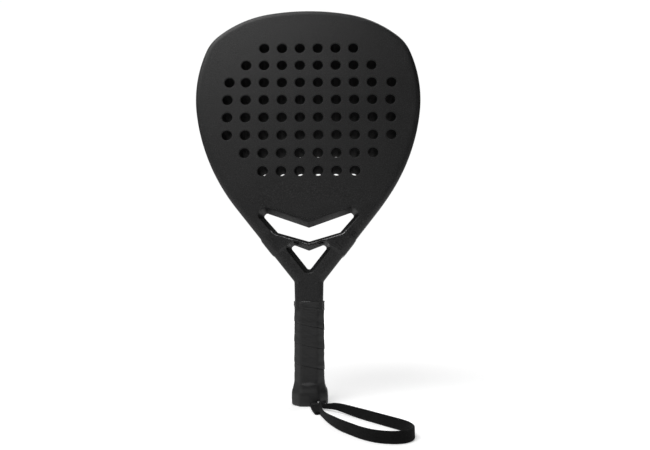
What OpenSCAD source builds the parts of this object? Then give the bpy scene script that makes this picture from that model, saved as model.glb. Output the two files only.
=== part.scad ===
// Padel racket with a diamond-shaped head, an open two-window throat, a wrapped grip and a wrist strap.
// The racket stands upright: +Z runs from the butt to the crown, the hitting faces look along -Y and +Y,
// and the butt rests on z = 0.

/* [Head] */
// Overall length from butt to crown
overall_l = 450; // [447:1:453]
// Depth of the head over both faces
thickness = 38; // [36:0.5:38]
// Width of the frame tube seen from the front
tube_w = 14; // [13:0.5:14]
// Wall of the laminate tube
wall = 1.8; // [1.4:0.1:2.2]
// Thickness of each face sheet
skin_t = 1.2; // [0.8:0.1:1.4]
// Rounding of the frame's outer edges
edge_r = 6.5; // [4:0.5:7]

/* [Drilling] */
// Diameter of the face holes
hole_d = 11.8; // [9:0.1:13]
// Hole spacing across the face
pitch_x = 20.8; // [19.5:0.1:21]
// Hole spacing along the face
pitch_z = 21; // [20:0.1:21.2]
// Height of the lowest row of holes
hole_z0 = 254; // [252:1:256]
// Sideways drift of the outer holes in the third row
drift = 1.9; // [0:0.1:2]

/* [Throat] */
// How far the window walls lean in from face to mid-plane
lean = 4; // [2:0.5:4.5]
// Chamfer along the window rims
rim_chamfer = 1; // [0.6:0.1:1.2]
// Thickness of the bridge laminate where it wraps the arms
wrap_t = 1; // [0.8:0.1:1.2]

/* [Handle] */
// Width of the neck
neck_w = 30.6; // [30:0.2:31]
// Depth of the neck
neck_d = 29.4; // [28.6:0.2:30]
// Height at which the grip ends
grip_top = 109; // [106:1:111]
// Width of the handle under the grips
core_w = 28.2; // [28:0.1:28.4]
// Depth of the handle under the grips
core_d = 26; // [25.8:0.1:26.2]
// Thickness of the cushion grip
base_t = 1; // [0.8:0.1:1.1]
// Thickness of the outer wrap
over_t = 0.8; // [0.6:0.1:0.9]
// Radius of the cord hole in the butt cap
cord_r = 5; // [4.5:0.25:5.5]

/* [Strap] */
// Width of the strap webbing
strap_w = 10; // [8:0.5:10]
// Thickness of the strap webbing
strap_t = 1.8; // [1.4:0.1:2]

/* [Hidden] */
$fn = 48;

hd = thickness / 2;
lift = overall_l - 450;
bond = 0.1;

// ---- outline of the head: five tangent arcs from the crown down to the straight arm ----
radius = [270, 124.5, 48, 150, 230];
sweep = [10, 30.5, 28, 29.5, 30.5];
function turn(i) = i == 0 ? 0 : turn(i - 1) + sweep[i - 1];
function centre(i) = i == 0 ? [0, overall_l - radius[0]]
    : centre(i - 1) + (radius[i - 1] - radius[i]) * [sin(turn(i)), cos(turn(i))];
function on_arc(i, t, d) = centre(i) + (radius[i] - d) * [sin(t), cos(t)];
function half_outline(d, last, step = 4.5) = [for (i = [0:4])
    let(a = turn(i), b = min(turn(i + 1), last), n = max(1, ceil((b - a) / step)))
    for (k = [(i == 0 ? 0 : 1):n]) on_arc(i, a + (b - a) * k / n, d)];
function flip(p) = [for (k = [len(p) - 1:-1:0]) if (p[k][0] > 0.001) [-p[k][0], p[k][1]]];

// the straight arms leave the last arc here and run down at this slope
arm_e = on_arc(4, turn(5), 0);
arm_a = turn(5) - 90;
function arm_pt(s, n) = arm_e + s * [-sin(arm_a), -cos(arm_a)] + n * [-cos(arm_a), sin(arm_a)];
// stretch of each arm that the throat bridge wraps
wrap_a = 44;
wrap_b = 70;

// ---- small drawing helpers ----
module upright(y0, y1) translate([0, y1, 0]) rotate([90, 0, 0]) linear_extrude(y1 - y0) children();
module both_sides() { children(); mirror([1, 0, 0]) children(); }
module arm_place() translate([arm_e[0], 0, arm_e[1]]) rotate([0, arm_a, 0]) children();

// quarter round of n facets about c, from angle a
function quarter(c, r, a, n = 4) = [for (k = [0:n]) c + r * [cos(a + 90 * k / n), sin(a + 90 * k / n)]];
function round_rect(w, d, r, n = 4) = concat(quarter([w / 2 - r, d / 2 - r], r, 0, n), quarter([-w / 2 + r, d / 2 - r], r, 90, n),
    quarter([-w / 2 + r, -d / 2 + r], r, 180, n), quarter([w / 2 - r, -d / 2 + r], r, 270, n));
function octagon(w, d, c) = [[w / 2, -d / 2 + c], [w / 2, d / 2 - c], [w / 2 - c, d / 2], [-w / 2 + c, d / 2],
    [-w / 2, d / 2 - c], [-w / 2, -d / 2 + c], [-w / 2 + c, -d / 2], [w / 2 - c, -d / 2]];

// section of an arm: outer edge at x = -g with both corners rounded, inner wall at x = -w
function tube_section(w, h, r, g = 0) = concat([[-w, -h]], quarter([-r - g, -h + r], r, 270), quarter([-r - g, h - r], r, 0), [[-w, h]]);

// ---- loft between rings of equal length, with two triangles a side where the sides aren't flat ----
function loft_sides(rings, n) = [for (r = [0:rings - 2]) for (k = [0:n - 1]) [r * n + k, (r + 1) * n + k, (r + 1) * n + (k + 1) % n, r * n + (k + 1) % n]];
function split(f) = [for (q = f) for (k = [0:1]) k == 0 ? [q[0], q[1], q[2]] : [q[0], q[2], q[3]]];
module loft(rings, flat_sides = true) let(n = len(rings[0]), f = loft_sides(len(rings), n)) polyhedron([for (r = rings) for (p = r) p],
    concat([[for (k = [0:n - 1]) k]], flat_sides ? f : split(f), [[for (k = [n - 1:-1:0]) (len(rings) - 1) * n + k]]), convexity = 6);

// ---- windows in the throat: corners [x, z, radius] at the mid-plane, counter-clockwise ----
upper_window = [[0, 176, 2], [35.5, 186.3, 3], [52, 205, 2.5], [48.5, 208.9, 2.5], [0, 191.8, 2],
                [-48.5, 208.9, 2.5], [-52, 205, 2.5], [-35.5, 186.3, 3]];
lower_window = [[0, 142.8, 3], [20.6, 168.8, 2.5], [16.5, 171.8, 2.5], [0, 165.5, 2],
                [-16.5, 171.8, 2.5], [-20.6, 168.8, 2.5]];
function unit(v) = v / norm(v);
function out_n(a, b) = let(d = unit([b[0] - a[0], b[1] - a[1]])) [d[1], -d[0]];
// corner i of window w pushed out by d
function pushed(w, i, d) = let(n = len(w), p = w[i], a = out_n(w[(i + n - 1) % n], p), b = out_n(p, w[(i + 1) % n]))
    [p[0], p[1]] + d * (a + b) / (1 + a * b);
function bends_out(w, i) = let(n = len(w), a = out_n(w[(i + n - 1) % n], w[i]), b = out_n(w[i], w[(i + 1) % n])) a[0] * b[1] - a[1] * b[0] > 0;
function window_ring(w, d, n = 4) = [for (i = [0:len(w) - 1])
    let(p = pushed(w, i, d), q0 = pushed(w, (i + len(w) - 1) % len(w), d), q1 = pushed(w, (i + 1) % len(w), d),
        u = unit(q0 - p), v = unit(q1 - p), half = acos(u * v) / 2,
        r = bends_out(w, i) ? w[i][2] + d : max(w[i][2] - d, 0.8), s = r / tan(half), c = p + unit(u + v) * r / sin(half),
        e0 = p + u * s - c, e1 = p + v * s - c)
    for (k = [0:n]) let(m = unit(e0 * (1 - k / n) + e1 * k / n)) c + r * m + [0, lift]];
function at_y(ring, y) = [for (k = [len(ring) - 1:-1:0]) [ring[k][0], y, ring[k][1]]];
module window_cut(w) loft([at_y(window_ring(w, lean + rim_chamfer + 1), -hd - 1), at_y(window_ring(w, lean), -hd + rim_chamfer),
    at_y(window_ring(w, 0), 0), at_y(window_ring(w, lean), hd - rim_chamfer), at_y(window_ring(w, lean + rim_chamfer + 1), hd + 1)]);
module windows() { window_cut(upper_window); window_cut(lower_window); }

// ---- flat regions of the head ----
core_last = 123.8;
core_low = 208 + lift;
sheet_last = 126;
sheet_low = 198.5 + lift;
module core_region(g = 0) let(h = half_outline(tube_w + g, core_last)) polygon(concat(h, [[0, core_low + g]], flip(h)));
module sheet_region(g = 0) let(h = half_outline(tube_w - 5 + g, sheet_last)) polygon(concat(h, [[0, sheet_low + g]], flip(h)));
module head_bridge_region() let(h = concat([for (t = [core_last + 0.2, 126, turn(5)]) on_arc(4, t, tube_w + bond)],
    [arm_pt(23.5 - bond, tube_w + bond), arm_pt(23.5 - bond, 21), [20, 190 + lift]]))
    polygon(concat([[0, core_low - bond]], h, [[0, 186 + lift]], flip(h)));
// the bar reaches from arm to arm; the windows trim its upper and lower edges
module throat_bar_region() let(h = [arm_pt(wrap_a + bond, 30), arm_pt(wrap_a + bond, 17), arm_pt(wrap_b - bond, 17), arm_pt(wrap_b - bond, 22.1),
    arm_pt(wrap_b + 3.5, 24.5)])
    polygon(concat([[0, 182 + lift]], h, [[0, 160 + lift]], flip(h)));

// ---- drilling ----
row_count = [6, 8, 10, 10, 10, 10, 8, 6];
hole_at = [for (j = [0:7]) for (i = [0:row_count[7 - j] - 1])
    [(i - (row_count[7 - j] - 1) / 2) * pitch_x + (j == 5 && (i == 0 || i == row_count[7 - j] - 1) ? drift : 0), hole_z0 + lift + j * pitch_z]];
module drilling() for (p = hole_at) translate([p[0], 0, p[1]]) rotate([90, 0, 0]) cylinder(d = hole_d, h = thickness + 4, center = true);

// ---- strap route: [x, y, z, lean of the webbing from upright] ----
loop_route = [[8.6, -24.5, 4.4, 62], [10, -35, 4.6, 55], [11.4, -48, 5, 40], [14.6, -61, 5.4, 16], [19, -75, 5.5, 4], [23.6, -88, 5.5, 0],
    [29.8, -101.5, 5.5, 0], [38.2, -114, 5.5, 0], [47, -125.5, 5.5, 0], [57, -133.5, 5.5, 0], [68, -137, 5.5, 0], [78.5, -136.5, 5.5, 0],
    [86, -131, 5.5, 0], [89.5, -122, 5.5, 0], [88, -112.5, 5.5, 0], [83, -103.8, 5.5, 0], [76, -95.5, 5.5, 0], [66, -83.8, 5.5, 0],
    [55, -70.5, 5.5, 0], [45, -59.5, 5.5, 0], [36, -50, 5.5, 0], [27.8, -42, 5.5, 0], [21, -35, 5.2, -14], [16.5, -29, 4.8, -35], [13, -24, 4.4, -55]];
tail_route = [[0, 0, 19], [0, 0, 15], [0.4, -0.6, 11], [2, -4.2, 7.2], [4.8, -10, 4.6], [7.6, -16.5, 3.9], [10.6, -23.6, 3.9]];
// Catmull-Rom point between b and c
function blend(a, b, c, d, t) = 0.5 * (2 * b + (c - a) * t + (2 * a - 5 * b + 4 * c - d) * t * t + (3 * b - a - 3 * c + d) * t * t * t);
function smooth(p, m) = concat([for (i = [0:len(p) - 2]) for (k = [0:m - 1])
    blend(p[max(i - 1, 0)], p[i], p[i + 1], p[min(i + 2, len(p) - 1)], k / m)], [p[len(p) - 1]]);
function xyz(p) = [p[0], p[1], p[2]];
function along(p, i) = unit(xyz(p[min(i + 1, len(p) - 1)]) - xyz(p[max(i - 1, 0)]));
function web_ring(c, f, tilt, w, t) = let(side = unit(cross([0, 0, 1], f)), up = unit(cross(f, side)),
    u = cos(tilt) * up + sin(tilt) * side, v = cross(f, u), b = t * 0.3)
    [for (q = [[w / 2, -t / 2 + b], [w / 2, t / 2 - b], [w / 2 - b, t / 2], [-w / 2 + b, t / 2], [-w / 2, t / 2 - b], [-w / 2, -t / 2 + b],
               [-w / 2 + b, -t / 2], [w / 2 - b, -t / 2]]) c + q[0] * u + q[1] * v];
function oval_ring(c, f, w, t) = let(side = unit(cross(abs(f[2]) > 0.9 ? [0, 1, 0] : [0, 0, 1], f)), up = cross(f, side))
    [for (k = [0:7]) c + w / 2 * cos(45 * k + 22.5) * side + t / 2 * sin(45 * k + 22.5) * up];

// ---- handle sections: [z, width, depth, corner cut] ----
cap_rings = [[0, 33, 30.4, 7.5], [4, 36.6, 34, 8.4], [10, 36.4, 33.8, 8.4], [17, 32.6, 30.4, 7.6], [22, 30.6, 28.4, 6.8], [27, 30, 27.8, 6.5]];
wrap_rings = [[0.8, 36, 33.4, 8.4], [4.5, 38.8, 36.2, 9], [10, 38.6, 36, 9], [17, 34.8, 32.6, 8], [22, 32.6, 30.4, 7.2], [28, 31.8, 29.6, 7]];
wrap_bores = [[0.7, 34, 31.4, 7.8], [4, 36.8, 34.2, 8.4], [10, 36.6, 34, 8.4], [17, 32.8, 30.6, 7.6], [22, 30.8, 28.6, 6.8], [27.2, 30.2, 28, 6.5]];
function ring_of(r) = [for (p = octagon(r[1], r[2], r[3])) [p[0], p[1], r[0]]];
module strap_notch() translate([2.5, -21, -1]) cube([14.5, 14, 7.6]);

module core_foam() color("#141414") difference() {
    upright(-hd + skin_t + bond / 2, hd - skin_t - bond / 2) core_region(bond);
    drilling();
}

module front_face_sheet() color("#2a2a2c") difference() {
    upright(-hd, -hd + skin_t) sheet_region(bond);
    drilling();
}

module rear_face_sheet() color("#2a2a2c") difference() {
    upright(hd - skin_t, hd) sheet_region(bond);
    drilling();
}

// rounded plate between insets and depths that follow a quarter round at both faces
function plate_rings(r, g, f) = let(q = quarter([r + g, -hd + r + g], r, 180, 3))
    concat([for (k = [len(q) - 1:-1:0]) at_y(f(q[k][0]), q[k][1])], [for (k = [0:len(q) - 1]) at_y(f(q[k][0]), -q[k][1])]);
function head_ring(d, s) = let(h = concat(half_outline(d, 180), [arm_pt(s, d)]), p = concat(flip(h), h)) [for (k = [len(p) - 1:-1:0]) p[k]];
// everything below the line across each arm at s
module below(s, reach) both_sides() arm_place() translate([-reach, -hd - 1, -80]) cube([reach + 10, thickness + 2, 80 - s]);
module hoop_hole(n) let(h = concat(half_outline(n, 180), [arm_pt(23.5, n), arm_pt(23.5, 22), arm_pt(66, 22)])) polygon(concat(h, flip(h)));
module hoop() difference() {
    loft(plate_rings(edge_r, 0, function(d) head_ring(d, wrap_a + 1)));
    below(wrap_a, 30);
    upright(-hd - 1, hd + 1) hoop_hole(tube_w);
    upright(-hd - 1, -hd + skin_t) sheet_region(0);
    upright(hd - skin_t, hd + 1) sheet_region(0);
}
module hoop_cavity(g = 0) difference() {
    loft(plate_rings(edge_r - wall, wall + g, function(d) head_ring(d, 4)));
    below(2 - g, 90);
    let(h = concat(half_outline(tube_w - wall - g, 180), [arm_pt(8, tube_w - wall - g)])) upright(-hd, hd) polygon(concat(h, flip(h)));
    for (s = [-1, 1]) upright(s * (hd - 1.5) - 1.5 - g, s * (hd - 1.5) + 1.5 + g) sheet_region(-1.5);
}

// section down the arm, its depth stepping in under the bridge and tapering to the neck
function arm_ring(s, h) = [for (p = tube_section(17, h, edge_r, bond)) [p[0], p[1], -s]];
module arm_body() arm_place() {
    loft([for (p = [[108, neck_d / 2], [104, neck_d / 2], [wrap_b + 0.1, hd - wrap_t - 0.9], [wrap_b, hd - wrap_t - 1.2],
        [wrap_a - 1.3, hd - wrap_t + 0.05]]) arm_ring(p[0], p[1])]);
    loft([for (p = [[118, neck_d / 2 - 0.1], [104, neck_d / 2 - 0.1], [wrap_b, hd - wrap_t - 1]])
        [for (q = round_rect(6, 2 * p[1], 0.1, 1)) [q[0] - 19, q[1], -p[0]]]]);
}

module frame_tube() color("#1f1f21") difference() {
    union() {
        hoop();
        both_sides() arm_body();
        translate([0, 0, grip_top - 0.5]) linear_extrude(134.5 + lift - grip_top) polygon(round_rect(neck_w, neck_d, 5));
        translate([0, 0, 36]) linear_extrude(grip_top - 34) polygon(round_rect(24, 20, 3));
    }
    windows();
    hoop_cavity();
    both_sides() arm_place() translate([-12, -12.6, -92]) cube([9.6, 25.2, 86]);
    both_sides() translate([0.8, -8.4, 37.6]) cube([9.6, 16.8, 88.4 + lift]);
}

module frame_foam() color("#e8e2d0") hoop_cavity(bond);

module arm_foam() color("#e8e2d0") both_sides() arm_place() translate([-11.9, -12.5, -91.9]) cube([9.4, 25, 85.8]);

module head_bridge() color("#1f1f21") difference() {
    upright(-hd, hd) head_bridge_region();
    upright(-hd - 1, -hd + skin_t) sheet_region(0);
    upright(hd - skin_t, hd + 1) sheet_region(0);
    window_cut(upper_window);
    upright(-14, 14) bridge_bore();
}
module bridge_bore(g = 0) polygon([[0, 198 + lift + g], [52 - 2 * g, 215.7 + lift], [56 - 2 * g, 223 + lift], [0, 204 + lift - g],
    [-56 + 2 * g, 223 + lift], [-52 + 2 * g, 215.7 + lift]]);
module head_bridge_foam() color("#e8e2d0") upright(-13.9, 13.9) bridge_bore(bond);

// laminate sleeve round the outside of each arm, open on the side that meets the bar
module arm_wrap() arm_place() difference() {
    loft([for (p = [[wrap_b, hd - 1.2], [wrap_a, hd]]) [for (q = tube_section(17 + wrap_t, p[1], edge_r + wrap_t)) [q[0] + wrap_t, q[1], -p[0]]]]);
    loft([for (p = [[wrap_b + 1, hd - wrap_t - 1.15], [wrap_a - 1, hd - wrap_t + 0.05]]) [for (q = tube_section(18, p[1], edge_r)) [q[0], q[1], -p[0]]]]);
}

module throat_bridge() color("#1c1c1e") difference() {
    union() {
        intersection() {
            upright(-hd, hd) throat_bar_region();
            translate([60, 0, 0]) rotate([0, -90, 0]) linear_extrude(120)
                polygon([[200, hd], [187 + lift, hd], [166 + lift, hd - 1.2], [150, hd - 1.2], [150, -hd + 1.2], [166 + lift, -hd + 1.2], [187 + lift, -hd], [200, -hd]]);
        }
        both_sides() arm_wrap();
    }
    windows();
    upright(-9, 9) bar_bore();
}
module bar_bore(g = 0) polygon([[0, 168.8 + lift + g], [27 - 2 * g, 175.6 + lift], [27 - 2 * g, 178.2 + lift - g], [0, 172.6 + lift - g],
    [-27 + 2 * g, 178.2 + lift - g], [-27 + 2 * g, 175.6 + lift]]);
module throat_bridge_foam() color("#e8e2d0") upright(-8.9, 8.9) bar_bore(bond);

module handle_foam() color("#d9d2b8") both_sides() translate([0.9, -8.3, 37.8]) cube([9.4, 16.6, 88 + lift]);

module pallet_pair() difference() {
    translate([0, 0, 17.2]) linear_extrude(grip_top - 18.2) polygon(octagon(core_w, core_d, 6));
    translate([0, 0, 36 - bond]) linear_extrude(grip_top) polygon(round_rect(24 + 2 * bond, 20 + 2 * bond, 3));
    translate([0, 0, 10]) linear_extrude(30) polygon(round_rect(22, 18, 3));
}
module staple_room(g = 0) for (s = [-1, 1]) translate([s * 6, -core_d / 2, 33]) {
    translate([-4 - g, -0.1, -0.4 - g]) cube([8 + 2 * g, 0.8 + g, 0.8 + 2 * g]);
    for (k = [-1, 1]) translate([k * 3.6 - 0.4 - g, 0, -0.4 - g]) cube([0.8 + 2 * g, 2.2 + g, 0.8 + 2 * g]);
}
module front_pallet() color("#b9a77c") difference() {
    intersection() { pallet_pair(); translate([-20, -20, 10]) cube([40, 20 - bond / 2, 100]); }
    staple_room(0.05);
}
module rear_pallet() color("#b9a77c") intersection() { pallet_pair(); translate([-20, bond / 2, 10]) cube([40, 20, 100]); }

module butt_cap() color("#161616") difference() {
    loft([for (r = cap_rings) ring_of(r)]);
    translate([0, 0, 17]) linear_extrude(12) polygon(octagon(core_w + 0.2, core_d + 0.2, 6));
    translate([0, 0, -1]) linear_extrude(14) polygon(octagon(25, 22, 6));
    translate([0, 0, 10]) cylinder(r = cord_r, h = 10);
    strap_notch();
}

module base_grip() color("#2c2c2c") difference() {
    translate([0, 0, 27.2]) linear_extrude(grip_top - 28.2) polygon(octagon(core_w + 2 * base_t, core_d + 2 * base_t, 6.5));
    translate([0, 0, 20]) linear_extrude(grip_top) polygon(octagon(core_w + 0.02, core_d + 0.02, 6));
}

module overgrip() color("#262627") difference() {
    union() {
        loft([for (r = wrap_rings) ring_of(r)]);
        translate([0, 0, 27.9]) linear_extrude(grip_top - 28.9) polygon(octagon(core_w + 2 * (base_t + over_t), core_d + 2 * (base_t + over_t), 7));
    }
    loft([for (r = wrap_bores) ring_of(r)]);
    translate([0, 0, 27.1]) linear_extrude(grip_top) polygon(octagon(core_w + 2 * base_t + 0.02, core_d + 2 * base_t + 0.02, 6.5));
    strap_notch();
}

module finishing_tape() color("#2b2b2d") let(w = core_w + 2 * (base_t + over_t), d = core_d + 2 * (base_t + over_t)) difference() {
    translate([0, 0, grip_top - 8.5]) linear_extrude(8.3) polygon(octagon(w + 1, d + 1, 7.4));
    translate([0, 0, grip_top - 10]) linear_extrude(12) polygon(octagon(w + 0.02, d + 0.02, 7));
}

module grip_staples() color("silver") staple_room();

module wrist_strap() color("#101010") let(p = smooth(loop_route, 3))
    loft([for (i = [0:len(p) - 1]) web_ring(xyz(p[i]), along(p, i), p[i][3], strap_w, strap_t)], false);

module strap_tail() color("#101010") let(p = smooth(tail_route, 3))
    loft([for (i = [0:len(p) - 1]) oval_ring(p[i], along(p, i), 7, 4)], false);

module strap_knot() color("#101010") translate([0, 0, 19.4]) {
    translate([0, 0, 2.6]) rotate_extrude() translate([4.4, 0]) circle(r = 2.4);
    translate([0, 0, 6.4]) rotate_extrude() translate([3.2, 0]) circle(r = 2.4);
    cylinder(r = 3, h = 9);
}

module strap_stitching() color("#3a3a3a") for (k = [0:3]) translate([0, 0, 14.1 + 0.9 * k]) difference() {
    linear_extrude(0.5) polygon(octagon(8, 5, 1.6));
    translate([0, 0, -1]) linear_extrude(3) polygon(octagon(7.2, 4.2, 1.4));
}

core_foam();
front_face_sheet();
rear_face_sheet();
frame_tube();
frame_foam();
arm_foam();
head_bridge();
head_bridge_foam();
throat_bridge();
throat_bridge_foam();
handle_foam();
front_pallet();
rear_pallet();
butt_cap();
base_grip();
overgrip();
finishing_tape();
grip_staples();
wrist_strap();
strap_tail();
strap_knot();
strap_stitching();
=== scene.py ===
import bmesh
import bpy
import math
import numpy as np
from mathutils import Matrix, Vector
from mathutils.geometry import delaunay_2d_cdt


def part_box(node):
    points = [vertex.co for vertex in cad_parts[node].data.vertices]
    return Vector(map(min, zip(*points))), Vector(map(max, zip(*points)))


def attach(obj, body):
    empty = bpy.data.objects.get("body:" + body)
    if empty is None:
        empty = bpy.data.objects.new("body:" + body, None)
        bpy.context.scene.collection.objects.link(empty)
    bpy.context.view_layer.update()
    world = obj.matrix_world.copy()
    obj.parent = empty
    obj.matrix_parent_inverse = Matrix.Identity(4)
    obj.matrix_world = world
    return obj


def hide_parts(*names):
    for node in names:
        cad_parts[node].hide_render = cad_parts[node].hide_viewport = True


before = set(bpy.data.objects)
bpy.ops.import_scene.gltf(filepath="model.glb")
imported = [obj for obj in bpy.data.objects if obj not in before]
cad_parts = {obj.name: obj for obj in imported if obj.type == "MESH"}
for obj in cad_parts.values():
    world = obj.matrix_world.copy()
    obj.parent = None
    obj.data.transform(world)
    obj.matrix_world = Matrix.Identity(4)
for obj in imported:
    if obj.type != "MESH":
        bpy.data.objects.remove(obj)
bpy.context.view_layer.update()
scene = bpy.context.scene
MM = 0.001
sin, cos, rad = math.sin, math.cos, math.radians

# ------------------------------------------------------------------ camera
CAM = (16.894, -521.766, 121.003)
PITCH, YAW, ROLL, FOCAL = 0.140917, 0.002534, -0.007981, 460.0
fwd = Vector((sin(YAW) * cos(PITCH), cos(YAW) * cos(PITCH), sin(PITCH)))
right = Vector((cos(YAW), -sin(YAW), 0))
up = right.cross(fwd)
r2 = cos(ROLL) * right + sin(ROLL) * up
u2 = -sin(ROLL) * right + cos(ROLL) * up
cam_data = bpy.data.cameras.new("camera")
cam_data.sensor_fit = "HORIZONTAL"
cam_data.sensor_width = 36.0
cam_data.lens = 36.0 * FOCAL / 650.0
cam_data.clip_start = 0.01
cam_data.clip_end = 50.0
camera = bpy.data.objects.new("camera", cam_data)
scene.collection.objects.link(camera)
camera.matrix_world = Matrix((
    (r2.x, u2.x, -fwd.x, CAM[0] * MM), (r2.y, u2.y, -fwd.y, CAM[1] * MM),
    (r2.z, u2.z, -fwd.z, CAM[2] * MM), (0, 0, 0, 1)))
scene.camera = camera


# ------------------------------------------------------------------ materials
class Graph:
    """A node material with a few short-hands."""

    def __init__(self, name):
        self.mat = bpy.data.materials.new(name)
        self.mat.use_nodes = True
        self.t = self.mat.node_tree
        self.bsdf = next(n for n in self.t.nodes if n.type == "BSDF_PRINCIPLED")
        self.co = self.t.nodes.new("ShaderNodeTexCoord").outputs["Object"]

    def node(self, kind, **props):
        n = self.t.nodes.new(kind)
        for k, v in props.items():
            setattr(n, k, v)
        return n

    def put(self, value, socket):
        if isinstance(value, bpy.types.NodeSocket):
            self.t.links.new(value, socket)
        else:
            socket.default_value = value

    def noise(self, scale, detail=3.0, rough=0.55, stretch=None, distortion=0.0):
        n = self.node("ShaderNodeTexNoise")
        n.inputs["Scale"].default_value = scale
        n.inputs["Detail"].default_value = detail
        n.inputs["Roughness"].default_value = rough
        n.inputs["Distortion"].default_value = distortion
        self.put(self.mapped(stretch) if stretch else self.co, n.inputs["Vector"])
        return n.outputs["Fac"]

    def mapped(self, scale, rotation=(0, 0, 0), location=(0, 0, 0)):
        m = self.node("ShaderNodeMapping")
        m.inputs["Scale"].default_value = scale
        m.inputs["Rotation"].default_value = rotation
        m.inputs["Location"].default_value = location
        self.put(self.co, m.inputs["Vector"])
        return m.outputs["Vector"]

    def voronoi(self, scale, feature="F1", stretch=None):
        n = self.node("ShaderNodeTexVoronoi", feature=feature)
        n.inputs["Scale"].default_value = scale
        self.put(self.mapped(stretch) if stretch else self.co, n.inputs["Vector"])
        return n.outputs["Distance"]

    def wave(self, scale, direction="Z", profile="SIN", distortion=0.0, vector=None, detail=2.0):
        n = self.node("ShaderNodeTexWave", bands_direction=direction, wave_profile=profile)
        n.inputs["Scale"].default_value = scale
        n.inputs["Distortion"].default_value = distortion
        n.inputs["Detail"].default_value = detail
        self.put(vector if vector else self.co, n.inputs["Vector"])
        return n.outputs["Fac"]

    def ramp(self, value, low, high, a=0.0, b=1.0):
        n = self.node("ShaderNodeMapRange")
        n.inputs["From Min"].default_value = low
        n.inputs["From Max"].default_value = high
        n.inputs["To Min"].default_value = a
        n.inputs["To Max"].default_value = b
        self.put(value, n.inputs["Value"])
        return n.outputs["Result"]

    def math(self, op, a, b=0.0):
        n = self.node("ShaderNodeMath", operation=op)
        self.put(a, n.inputs[0])
        self.put(b, n.inputs[1])
        return n.outputs[0]

    def mix(self, fac, a, b):
        n = self.node("ShaderNodeMix", data_type="RGBA")
        self.put(fac, n.inputs["Factor"])
        self.put((*a, 1.0) if isinstance(a, tuple) else a, n.inputs["A"])
        self.put((*b, 1.0) if isinstance(b, tuple) else b, n.inputs["B"])
        return n.outputs["Result"]

    def bump(self, height, distance, strength=1.0, over=None):
        n = self.node("ShaderNodeBump")
        n.inputs["Strength"].default_value = strength
        n.inputs["Distance"].default_value = distance
        self.put(height, n.inputs["Height"])
        if over is not None:
            self.put(over, n.inputs["Normal"])
        return n.outputs["Normal"]

    def finish(self, color, rough, normal=None, specular=0.5, sheen=0.0, coat=0.0, coat_rough=0.2, metallic=0.0):
        b = self.bsdf.inputs
        self.put((*color, 1.0) if isinstance(color, tuple) else color, b["Base Color"])
        self.put(rough, b["Roughness"])
        b["Specular IOR Level"].default_value = specular
        b["Sheen Weight"].default_value = sheen
        b["Sheen Roughness"].default_value = 0.5
        b["Coat Weight"].default_value = coat
        b["Coat Roughness"].default_value = coat_rough
        b["Metallic"].default_value = metallic
        if normal is not None:
            self.put(normal, b["Normal"])
        return self.mat


def sparkle_black(name, base, rough, specular, weave=0.0, grain=1.0):
    """Matt lacquer over carbon laminate: fine cast grain, faint cloudy tone and, where asked, a ghost of the twill."""
    g = Graph(name)
    fine = g.noise(2600.0, 2.0, 0.6)
    mid = g.noise(620.0, 3.0, 0.6)
    cloud = g.noise(22.0, 3.0, 0.5)
    speck = g.ramp(fine, 0.58, 0.78)
    cast = g.noise(950.0, 2.0, 0.7)
    color = g.mix(g.ramp(cast, 0.47, 0.66), g.mix(cloud, tuple(c * 0.15 for c in base), tuple(c * 0.35 for c in base)), g.mix(cloud, tuple(c * 4.6 for c in base), tuple(c * 6.0 for c in base)))
    color = g.mix(g.math("MULTIPLY", speck, 0.35), color, tuple(min(1.0, c * 9.0) for c in base))
    r = g.math("ADD", g.ramp(mid, 0.3, 0.7, rough - 0.05, rough + 0.05), g.ramp(cloud, 0.3, 0.7, -0.03, 0.03))
    height = g.math("ADD", g.math("MULTIPLY", fine, 0.5), mid)
    normal = g.bump(height, 0.00006 * grain, 0.9)
    if weave:
        a = g.wave(150.0, "DIAGONAL", vector=g.mapped((1.0, 0.0, 1.0)))
        b = g.wave(75.0, "X")
        normal = g.bump(g.math("MULTIPLY", a, b), 0.00005 * weave, 0.8, normal)
    return g.finish(color, r, normal, specular)


MAT = {}
MAT["face"] = sparkle_black("face_lacquer", (0.003, 0.003, 0.0031), 0.46, 0.3, grain=4.0)
MAT["frame"] = sparkle_black("frame_lacquer", (0.003, 0.003, 0.0031), 0.45, 0.3, grain=3.0)
# painted shade: the walls inside the windows are darker and less glossy than the frame
MAT["inner"] = sparkle_black("window_wall_painted_shade", (0.0014, 0.0014, 0.0015), 0.5, 0.14, weave=3.0, grain=1.5)
# painted highlight: a pale material on the V bar's upper edge and on the front of the finishing band's top edge
MAT["edge"] = sparkle_black("paler_edge_painted_highlight", (0.075, 0.075, 0.0765), 0.34, 0.9, grain=0.6)
MAT["bridge"] = sparkle_black("bridge_lacquer", (0.0028, 0.0028, 0.0029), 0.42, 0.3, weave=1.6, grain=1.4)


def foam(name, base, cell=900.0, rough=0.85):
    g = Graph(name)
    cells = g.voronoi(cell)
    fine = g.noise(cell * 2.0, 2.0)
    color = g.mix(g.ramp(cells, 0.0, 0.6), tuple(c * 0.6 for c in base), tuple(min(1.0, c * 1.25) for c in base))
    return g.finish(color, g.ramp(fine, 0.3, 0.7, rough - 0.06, rough + 0.06), g.bump(cells, 0.0002, 0.7), 0.1)


MAT["core"] = foam("eva_foam", (0.0018, 0.0018, 0.002), 1200.0)
MAT["filler"] = foam("filler_foam", (0.03, 0.03, 0.032), 700.0)


def moulded(name, base, rough=0.55):
    g = Graph(name)
    fine = g.noise(1500.0, 3.0, 0.6)
    flow = g.noise(40.0, 3.0, 0.5, stretch=(1, 1, 0.3))
    color = g.mix(flow, tuple(c * 0.8 for c in base), tuple(min(1.0, c * 1.2) for c in base))
    return g.finish(color, g.ramp(flow, 0.3, 0.7, rough - 0.06, rough + 0.06), g.bump(fine, 0.00008, 0.7), 0.45)


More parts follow.
